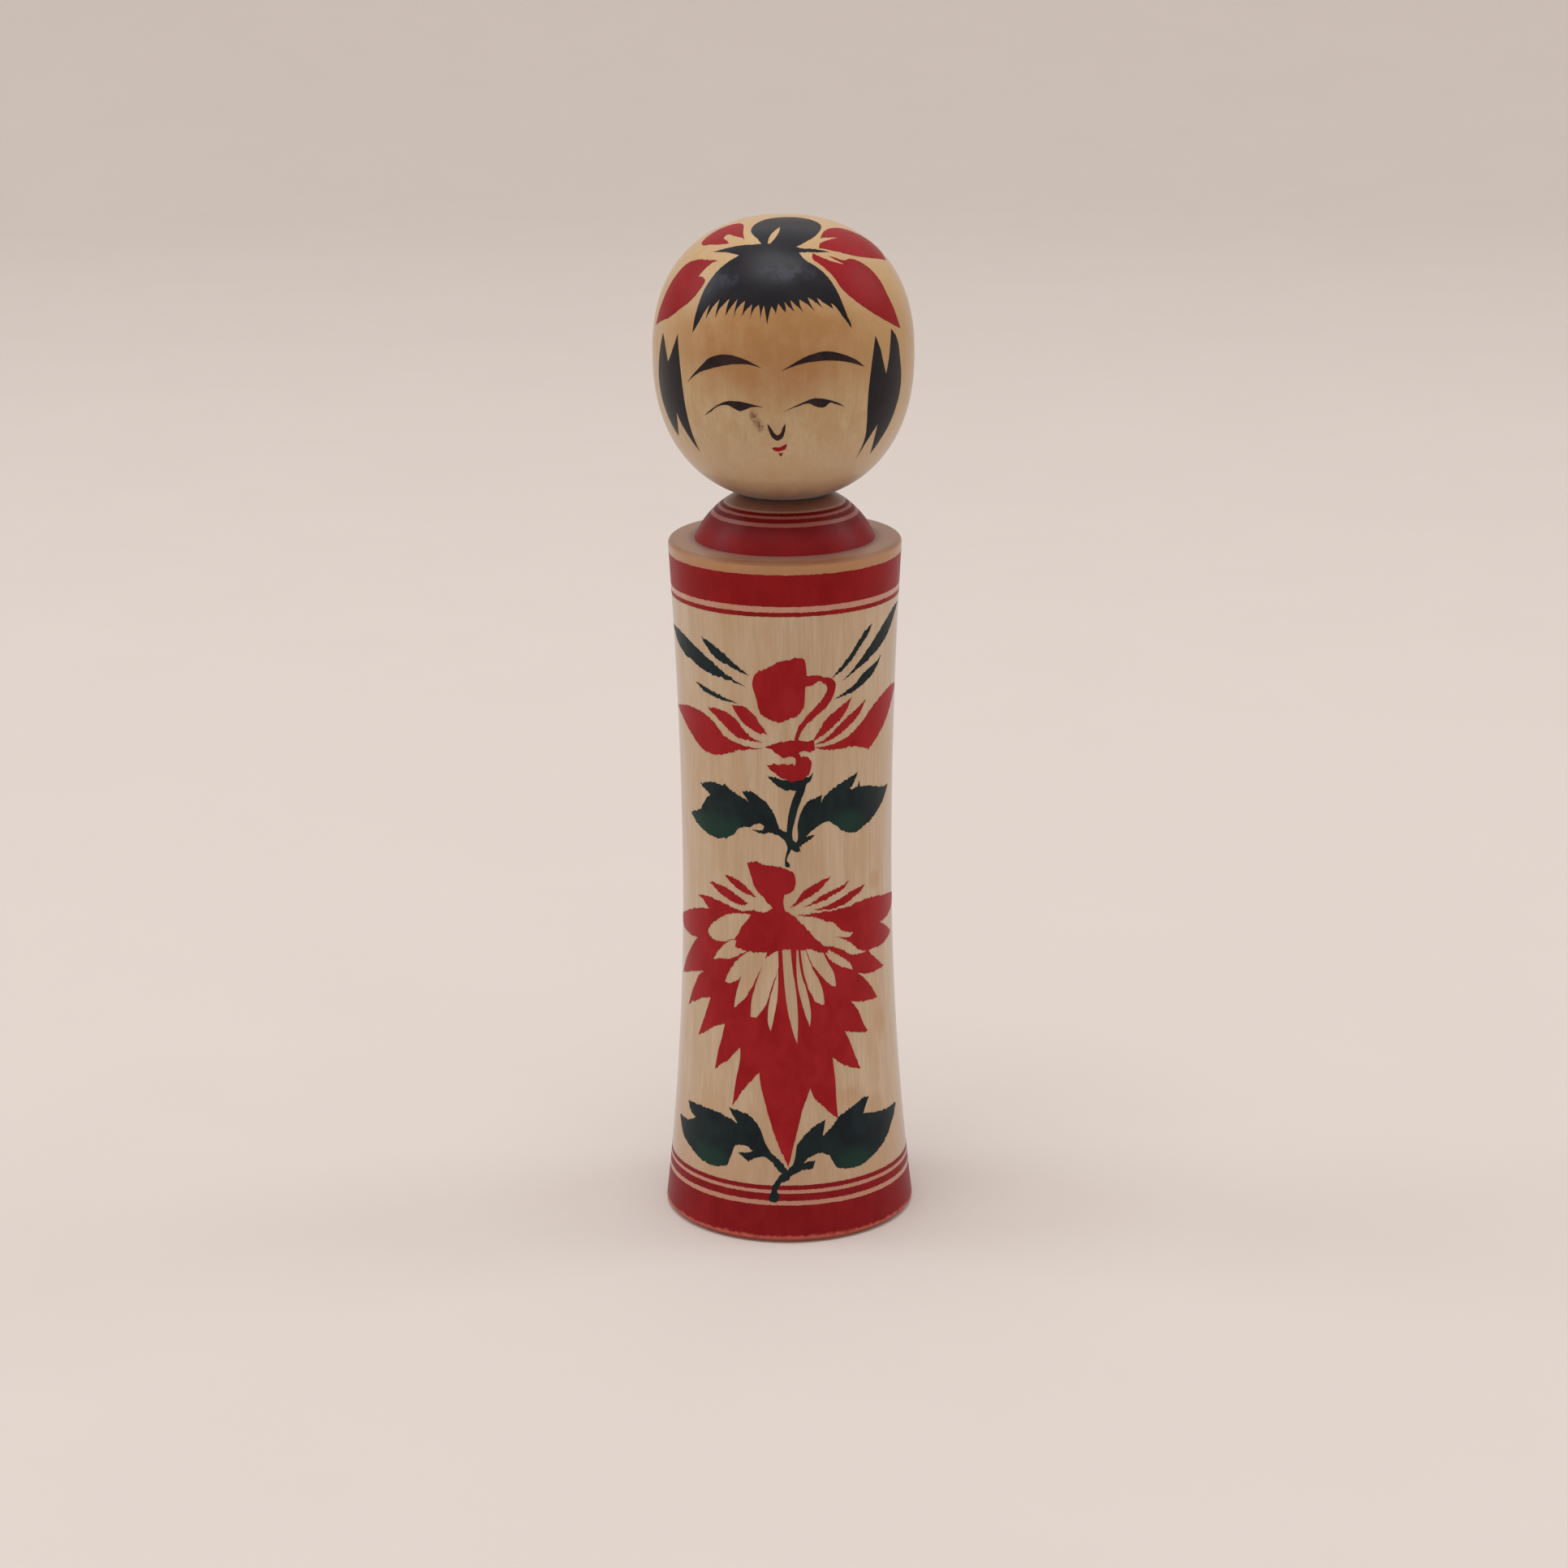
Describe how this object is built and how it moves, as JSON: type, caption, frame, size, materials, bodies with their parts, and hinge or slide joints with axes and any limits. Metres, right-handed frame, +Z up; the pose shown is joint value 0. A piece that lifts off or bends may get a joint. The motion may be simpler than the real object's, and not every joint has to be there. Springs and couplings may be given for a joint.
{
  "type": "kokeshi doll",
  "caption": "Lathe-turned wooden doll: a waisted body with a stepped, domed shoulder and a rounded head that turns stiffly on its neck, painted with hair, face, rings and flowers.",
  "frame": {"origin": "centre of the flat foot, on the surface that the doll stands on", "axes": "+Z up the doll's turning axis from the foot to the crown, -Y out of the face, +X to the doll's left"},
  "size_m": [0.0458, 0.0458, 0.182],
  "materials": {
    "body_wood": "bare pale hardwood, lathe-polished with wax, satin",
    "head_wood": "pale hardwood with a golden patina, lathe-polished with wax, satin",
    "red_dye": "crimson dye brushed on the bare wood, under the same wax",
    "green_dye": "very dark green dye brushed on the bare wood, under the same wax",
    "black_ink": "black ink brushed on the bare wood, under the same wax"
  },
  "bodies": {
    "body": {"body": "body_wood"},
    "head": {"head": "head_wood"}
  },
  "joints": [
    {"name": "head_turn", "type": "hinge", "parent": "body", "child": "head", "pos_m": [0, 0, 0.1275], "axis": [0, 0, 1], "continuous": true}
  ]
}
